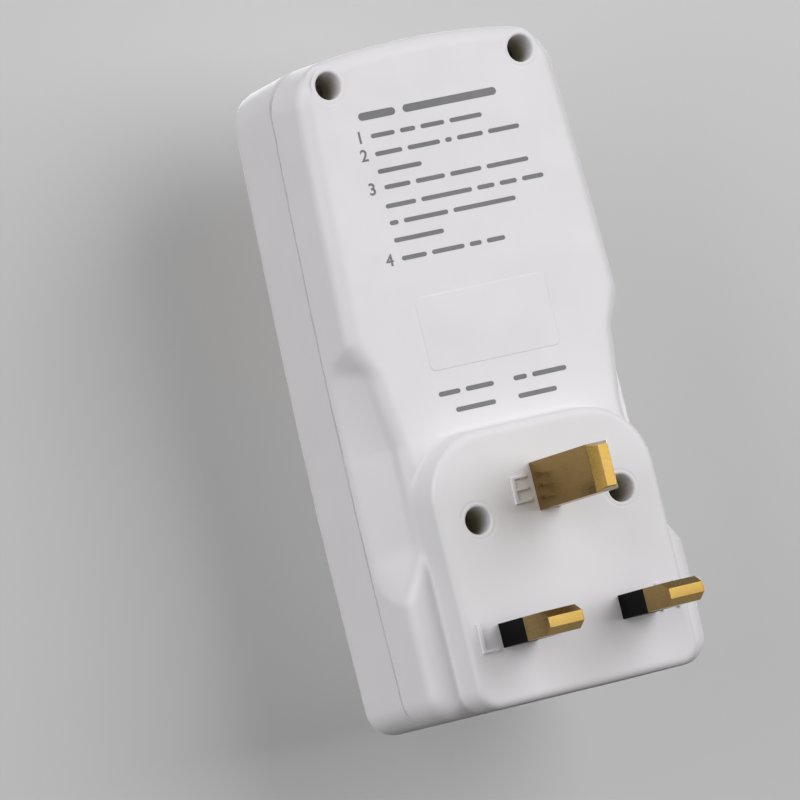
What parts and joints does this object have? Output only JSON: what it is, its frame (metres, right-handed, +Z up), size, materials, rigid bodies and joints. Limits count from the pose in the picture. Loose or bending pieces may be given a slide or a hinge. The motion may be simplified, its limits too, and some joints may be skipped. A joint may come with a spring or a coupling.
{
  "type": "plug-through rcd adapter",
  "caption": "White plug-through residual-current adapter with rectangular mains pins, finger-grip sides, shuttered socket, reset and test buttons and an indicator window.",
  "frame": {"origin": "on the plug face, midway between the line and neutral pins", "axes": "+Y out along the plug pins, +Z up towards the earth pin, +X towards the line pin"},
  "size_m": [0.0528, 0.0587, 0.1105],
  "materials": {
    "shell_white": "satin moulded white plastic",
    "pin_brass": "drawn brass, lightly worn",
    "sleeve_black": "matte black moulded sleeve",
    "screw_steel": "zinc-plated steel",
    "spring_steel": "bright spring steel",
    "copper": "copper, bright",
    "insulator": "natural moulded insulator",
    "ferrite": "wound strip core, coated",
    "board_green": "solder-masked laminate",
    "black_plastic": "black moulded plastic",
    "varistor_blue": "dipped coating",
    "resistor_tan": "lacquered body",
    "reset_green": "moulded green plastic",
    "test_yellow": "moulded yellow plastic",
    "flag_orange": "moulded orange plastic",
    "clear_pane": "clear moulded plastic"
  },
  "bodies": {
    "housing": {"rear_shell": "shell_white", "front_shell": "shell_white", "housing_screws": "screw_steel", "earth_pin": "pin_brass", "line_pin": "pin_brass", "neutral_pin": "pin_brass", "line_pin_sleeve": "sleeve_black", "neutral_pin_sleeve": "sleeve_black", "pin_retainer": "insulator", "socket_base": "insulator", "earth_clip": "pin_brass", "line_clip": "pin_brass", "neutral_clip": "pin_brass", "shutter_spring": "spring_steel", "line_feed_strap": "copper", "neutral_feed_strap": "copper", "line_load_strap": "copper", "neutral_load_strap": "copper", "sensing_core": "ferrite", "sensing_winding": "copper", "circuit_board": "board_green", "control_chip": "black_plastic", "varistor": "varistor_blue", "capacitor": "black_plastic", "test_resistor": "resistor_tan", "thyristor": "black_plastic", "mechanism_frame": "insulator", "opening_springs": "spring_steel", "coil_bobbin": "black_plastic", "coil_winding": "copper", "coil_yoke": "screw_steel", "plunger_spring": "spring_steel", "reset_spring": "spring_steel", "test_spring": "spring_steel", "test_leaf": "pin_brass", "flag_pivot": "spring_steel", "indicator_window": "clear_pane"},
    "reset": {"reset_button": "reset_green"},
    "test": {"test_button": "test_yellow"},
    "shutter": {"shutter": "shell_white"},
    "carrier": {"contact_carrier": "insulator", "line_bridge": "copper", "neutral_bridge": "copper"},
    "latch": {"latch_plate": "spring_steel"},
    "plunger": {"trip_plunger": "spring_steel"},
    "flag": {"indicator_flag": "flag_orange"}
  },
  "joints": [
    {"name": "reset_press", "type": "slide", "parent": "housing", "child": "reset", "axis": [0, 1, 0], "range_m": [0, 0.0026], "stiffness_N_per_m": 900, "deforming": ["reset_spring"]},
    {"name": "test_press", "type": "slide", "parent": "housing", "child": "test", "axis": [0, 1, 0], "range_m": [0, 0.0016], "stiffness_N_per_m": 900, "deforming": ["test_spring"]},
    {"name": "shutter_slide", "type": "slide", "parent": "housing", "child": "shutter", "axis": [0, 0, -1], "range_m": [0, 0.0054], "stiffness_N_per_m": 150, "deforming": ["shutter_spring"]},
    {"name": "contact_close", "type": "slide", "parent": "housing", "child": "carrier", "axis": [0, -1, 0], "range_m": [0, 0.0025], "stiffness_N_per_m": 400, "deforming": ["opening_springs"]},
    {"name": "flag_turn", "type": "hinge", "parent": "housing", "child": "flag", "pos_m": [0, -0.0255, 0.08003], "axis": [-1, 0, 0], "range_deg": [0, 36]},
    {"name": "trip_stroke", "type": "slide", "parent": "housing", "child": "plunger", "axis": [0, 0, -1], "range_m": [0, 0.0015], "stiffness_N_per_m": 200, "deforming": ["plunger_spring"]},
    {"name": "latch_slide", "type": "slide", "parent": "carrier", "child": "latch", "axis": [0, 0, -1], "range_m": [0, 0.0015]}
  ],
  "couplings": [
    {"joint": "flag_turn", "follows": "contact_close", "rad_per_m": 251.33},
    {"joint": "latch_slide", "follows": "trip_stroke", "ratio": 1}
  ]
}
